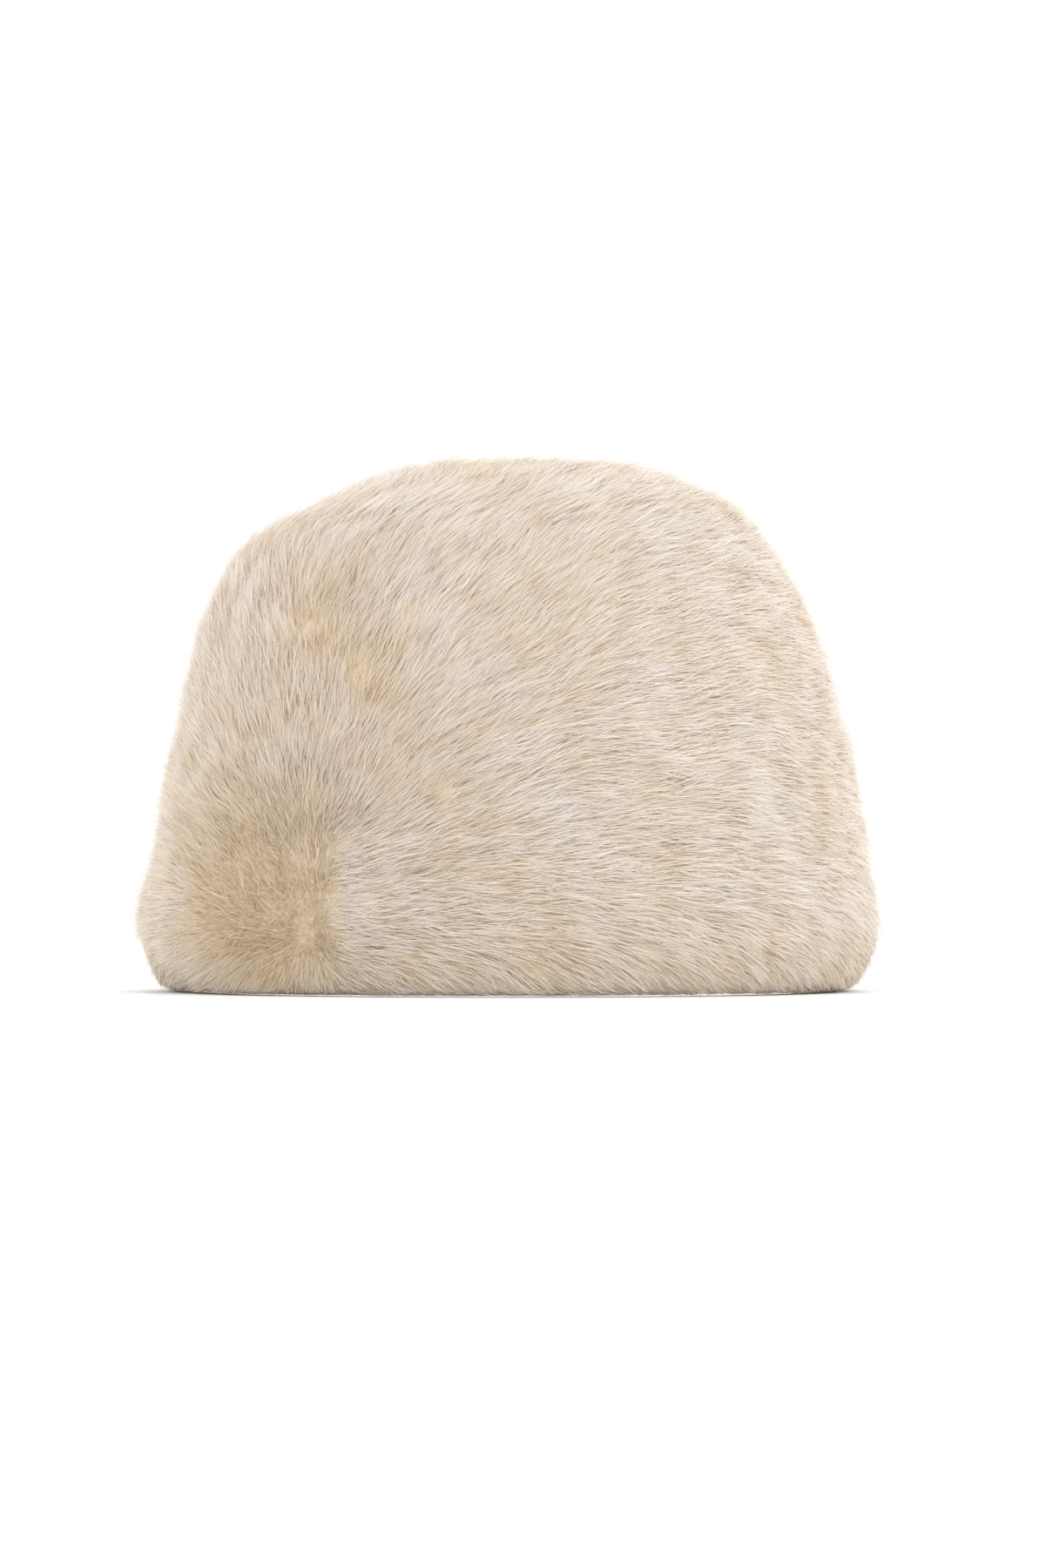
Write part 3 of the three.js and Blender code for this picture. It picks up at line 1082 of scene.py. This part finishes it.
def sideFurPieces():
    # nap from the rows, standing in the whorl and opened at the ruffles
    far, angle, extra = sideRoots()
    count = len(far)
    change = sideChange
    roots = ovalPoint(coatProfile, far, angle, -sideFur["depth"])
    nap = wavyNap(napField(far, angle), roots)
    right, up = roots[:, 0] * 1000, roots[:, 2] * 1000
    front = angle > math.pi
    dice = np.random.default_rng(71)
    # some that lie to the right are rooted a little left of the join, and cover it
    past = roots + dice.random((count, 1)) * [change["past"], 0, 0]
    stand, strip = standing(past), besideJoin(roots)
    nap = levelNap(nap, right, up, past, front)
    # the left shoulder is frizzier than the rest
    frizz = ramp(-right, *change["frizzRight"]) * front * ramp(up, *change["frizzLow"])
    frizz = frizz * (1 - ramp(up, *change["frizzHigh"]))
    nap = nap + frizz * change["frizzTurn"] * dice.normal(0, 1, count)
    liftLow, liftHigh = wavyLifts(sideFur, roots)
    liftLow = liftLow + change["frizzLift"][0] * frizz
    liftHigh = liftHigh + change["frizzLift"][1] * frizz
    # right of the join they lie down sooner, so no shade gathers there
    liftLow = liftLow * (1 - joinStrip["flatter"] * strip)
    nap, liftLow, liftHigh = whorlLifts(nap, liftLow, liftHigh, up, stand, dice)
    rise = 0.5 * (np.sin(liftLow) + np.sin(liftHigh))
    rim = 1 - ramp(up, *change["rim"])
    shape = dict(sideFur)
    shape["depth"] = sideFur["depth"] - whorl["shallow"] * np.maximum(stand, strip)
    length = sideFur["length"] * (1 - change["rimShorter"] * rim)
    length = length * (1 - change["frizzShorter"] * frizz)
    length = np.minimum(length, (shape["depth"] - change["under"]) / rise)
    shape["floor"] = sideFur["floor"] + change["floorStir"] * dice.random(count) ** 2
    shape["wispPull"] = sideFur["wispPull"] + whorl["dots"] * stand
    shape["open"], shade, haze = ruffles(far, angle)
    ragged = change["ruffleRagged"] * swell(roots, change["ruffleScale"], 15)
    ragged = np.clip(shade * (1 + ragged), 0, 1)
    nap = nap + ragged * dice.normal(0, change["ruffleTurn"], count)
    shape["length"] = length * (1 - change["ruffleShorter"] * ragged)
    shape["liftLow"] = liftLow + change["ruffleLift"] * ragged
    shape["liftHigh"] = liftHigh + change["ruffleLift"] * ragged
    stations, across, tone = growStrands(coatProfile, walkBand, (far, angle), nap, shape, 31)
    tone = tone + change["waveTone"] * swell(roots, 0.04, 12) + change["ruffleTone"] * ragged
    # painted shade: the left side of the front is darker
    tone = tone + change["leftShadeTone"] * ramp(-right, *change["leftShadeSide"]) * front
    tone = tone + change["hazeTone"] * np.minimum(haze, 1)
    # painted shade: darker towards the rim, where the surface curves under
    tone = tone + change["lowShadeTone"] * (1 - ramp(up, *change["lowShadeBand"]))
    tone = tone + change["whorlTone"] * standing(past, change["whorlSpread"])
    # painted light: the strip right of the join is paler, against its shade
    tone = tone + change["stripLightTone"] * strip * (1 - stand)
    tone = tone + change["whorlStir"] * stand * dice.normal(0, 1, count)
    # painted light and shade in the whorl: the wisps are paler, and the strands between them stop
    # short of their pale tips, so that the gaps look shaded and tan
    usual, sharp = change["whorlGapShade"]
    between = np.clip(usual + sharp * swell(past, change["whorlWisp"], 44), 0, 1)
    tipUnshaded = 1 - change["gapShade"] * stand * between
    tone = tone + change["wispTone"] * stand * (1 - between)
    quarter = np.floor(((angle + math.pi / 4) % (2 * math.pi)) / (math.pi / 2)).astype(int)
    quarter = np.where(extra, 4, quarter)
    for number, name in enumerate(["right", "back", "left", "front", "whorl"]):
        own = quarter == number
        parts = stations[own], across[own], tone[own]
        mesh = strandMesh("side_fur_" + name, *parts, sideFur["width"], tipUnshaded[own])
        linkPiece("side_fur_" + name, mesh, furPaint, "fur_side_band")
        print("side fur,", name, triangleCount(mesh), "triangles")


sideFurPieces()

# The pile of the top points away from the whorl, and by the seam as the side's does
topFur = dict(sideFur)
topFur.update({"spacing": 0.00072, "seamBlend": 0.045})


def topFurPiece():
    length = coatProfile["length"]
    far, angle = jitteredRoots(coatProfile, length * 0.60, length - 0.0005, topFur["spacing"], 6)
    keep = far > seamFar(angle) + sideChange["seamGap"]
    far, angle = far[keep], angle[keep]
    roots = ovalPoint(coatProfile, far, angle, -topFur["depth"])
    away = roots - ovalPoint(coatProfile, *frontPlaces(whorl["right"], whorl["up"]), 0.0)
    # the surface's own directions, round and up, from points a small step apart
    step = 0.0005
    ends = [ovalPoint(coatProfile, far, angle + side * step, 0.0) for side in (1, -1)]
    level = ends[0] - ends[1]
    ends = [ovalPoint(coatProfile, far + side * step, angle, 0.0) for side in (1, -1)]
    upward = ends[0] - ends[1]
    level /= np.linalg.norm(level, axis=1, keepdims=True)
    upward /= np.linalg.norm(upward, axis=1, keepdims=True)
    nap = np.arctan2((away * upward).sum(1), (away * level).sum(1))
    share = 1 - ramp(far - seamFar(angle), 0.0, topFur["seamBlend"])
    nap = wavyNap(turnTo(nap, napField(far, angle), share), roots)
    shape = dict(topFur)
    shape["liftLow"], shape["liftHigh"] = wavyLifts(topFur, roots)
    stations, across, tone = growStrands(coatProfile, walkTop, (far, angle), nap, shape, 47)
    tone = tone + sideChange["waveTone"] * swell(roots, 0.04, 12)
    mesh = strandMesh("top_fur", stations, across, tone, topFur["width"])
    linkPiece("top_fur", mesh, furPaint, "fur_top_piece")
    print("top fur,", triangleCount(mesh), "triangles")


topFurPiece()

# The turned-in pile of the hem, shorter, and browner by a painted shade, as it lies in shade
# inside the hat
hemFur = dict(sideFur)
hemFur.update(
    {
        "spacing": 0.00088,
        "length": 0.011,
        "liftLow": math.radians(34),
        "liftHigh": math.radians(14),
        "depth": 0.0042,
        "tuft": 0.006,
        "way": math.radians(112),
        "wayStir": 0.35,
        "floorStir": 0.002,
        # painted shade: the hem's pile is made browner, as it lies in shade inside the hat
        "tone": -0.45,
        "top": 0.86,  # of the way round its section, where the lining hides the rest
    }
)


def hemFurPiece():
    top = hemProfile["length"] * hemFur["top"]
    far, angle = jitteredRoots(hemProfile, 0.001, top, hemFur["spacing"], 8)
    roots = ovalPoint(hemProfile, far, angle, -hemFur["depth"])
    nap = hemFur["way"] + hemFur["wayStir"] * swell(roots, 0.03, 14)
    stir = np.random.default_rng(9).random(len(far)) ** 2
    shape = dict(hemFur)
    shape["floor"] = hemFur["floor"] + hemFur["floorStir"] * stir
    stations, across, tone = growStrands(hemProfile, walkBand, (far, angle), nap, shape, 61)
    # the hem's tone offset is painted shade
    mesh = strandMesh("hem_fur", stations, across, tone + hemFur["tone"], hemFur["width"])
    linkPiece("hem_fur", mesh, furPaint, "fur_hem")
    print("hem fur,", triangleCount(mesh), "triangles")


hemFurPiece()

# The lining hangs from the hem's upper edge and follows the crown
lining = {
    "clearance": 0.0024,
    "thickness": 0.0012,
    "edgeInward": 0.0105,
    "edgeUp": 0.0215,
    "startShare": 0.17,  # of the way to the crown, where the lining's edge would lie
    "edgeReach": 0.16,  # over this share it comes in from the wall to its edge
    "foldAngle": math.radians(29),
    "foldHalfAngle": math.radians(17),
    "foldDrop": 0.013,
    "foldInward": 0.0075,
    "gathers": 0.0011,
    "crownGap": 0.0008,
    "columns": 240,
    "rowsInside": 46,
    "rowsOutside": 12,
}


def liningPoint(share, angle, inward):
    # from the hanging surface to the edge, by how near the edge it is, with gathers that
    # fade upwards, soft creases and one loose fold
    far = (lining["startShare"] + (1 - lining["startShare"]) * share) * coatProfile["length"]
    hung = ovalPoint(coatProfile, far, angle, -hatForm["backing"] - lining["clearance"] - inward)
    turned = (angle - lining["foldAngle"] + math.pi) % (2 * math.pi) - math.pi
    fold = 0.5 + 0.5 * np.cos(math.pi * np.clip(turned / lining["foldHalfAngle"], -1, 1))
    radius = hemForm["middleLine"] - lining["edgeInward"] - lining["foldInward"] * fold - inward
    edge = np.stack(
        np.broadcast_arrays(
            radius * np.cos(angle) - hatForm["middle"][0],
            depthRatio * radius * np.sin(angle) - hatForm["middle"][1],
            lining["edgeUp"] - lining["foldDrop"] * fold,
        ),
        axis=-1,
    )
    pull = ((1 - ramp(share, 0, lining["edgeReach"])) ** 1.5)[..., None]
    point = hung * (1 - pull) + edge * pull
    flat = point.reshape(-1, 3)
    creases = swell(flat * [1, 1, 0.35], 0.03, 21) + 0.5 * swell(flat, 0.016, 22)
    creases = creases.reshape(point.shape[:2]) * (1 - ramp(share, 0.8, 1.0))
    ruffle = np.sin(34 * angle + 2 * np.sin(5 * angle)) * np.exp(-share / 0.12)
    push = lining["gathers"] * (0.9 * ruffle + creases - 0.8)
    shrink = 1 + push / 0.09  # the lining is about 9 cm from its middle
    return point * np.stack([shrink, shrink, np.ones_like(shrink)], axis=-1)


def liningPiece():
    angle = np.linspace(0, 2 * math.pi, lining["columns"], endpoint=False)[None, :]
    down = np.linspace(0.96, 0, lining["rowsInside"])[:, None] ** 1.3
    inner = liningPoint(down, angle, lining["thickness"])
    # the unseen outer side has fewer rows
    fewer = lining["rowsInside"] // lining["rowsOutside"]
    outer = liningPoint(down[::-1][::fewer], angle, 0.0)
    hung = -hatForm["backing"] - lining["clearance"]
    crown = ovalPoint(coatProfile, coatProfile["length"], 0.0, hung)
    under = crown - [0, 0, lining["thickness"] + lining["crownGap"]]
    return closedSurface("lining", np.concatenate([inner, outer]), under[None], crown[None])


satinFinish = {
    "deep": (0.012, 0.011, 0.018, 1),
    "lit": (0.030, 0.029, 0.045, 1),
    "weave": {"Scale": 1400.0, "Detail": 2.0},
    "drift": {"Scale": 40.0, "Detail": 3.0},
    "bump": {"Strength": 0.15, "Distance": 0.0003},
    "roughness": 0.34,
    "roughnessDrift": 0.12,
    "sheen": 0.25,
    "sheenRoughness": 0.4,
}


def satinMaterial():
    # black satin: a soft sheen of its own, a fine weave and slight unevenness of gloss
    satin = Finish("blackSatin")
    place = {"Vector": satin.node("ShaderNodeTexCoord", output="Object")}
    weave = satin.node("ShaderNodeTexNoise", None, {**place, **satinFinish["weave"]})
    drift = satin.node("ShaderNodeTexNoise", None, {**place, **satinFinish["drift"]})
    satin.join(
        satin.shader,
        {
            "Base Color": satin.mixed(drift, satinFinish["deep"], satinFinish["lit"]),
            "Roughness": satinFinish["roughness"] + satinFinish["roughnessDrift"] * drift,
            "Sheen Weight": satinFinish["sheen"],
            "Sheen Roughness": satinFinish["sheenRoughness"],
            "Normal": satin.node("ShaderNodeBump", None, {**satinFinish["bump"], "Height": weave}),
        },
    )
    return satin.material


linkPiece("lining", liningPiece(), satinMaterial(), "satin_lining")
print("lining is built")
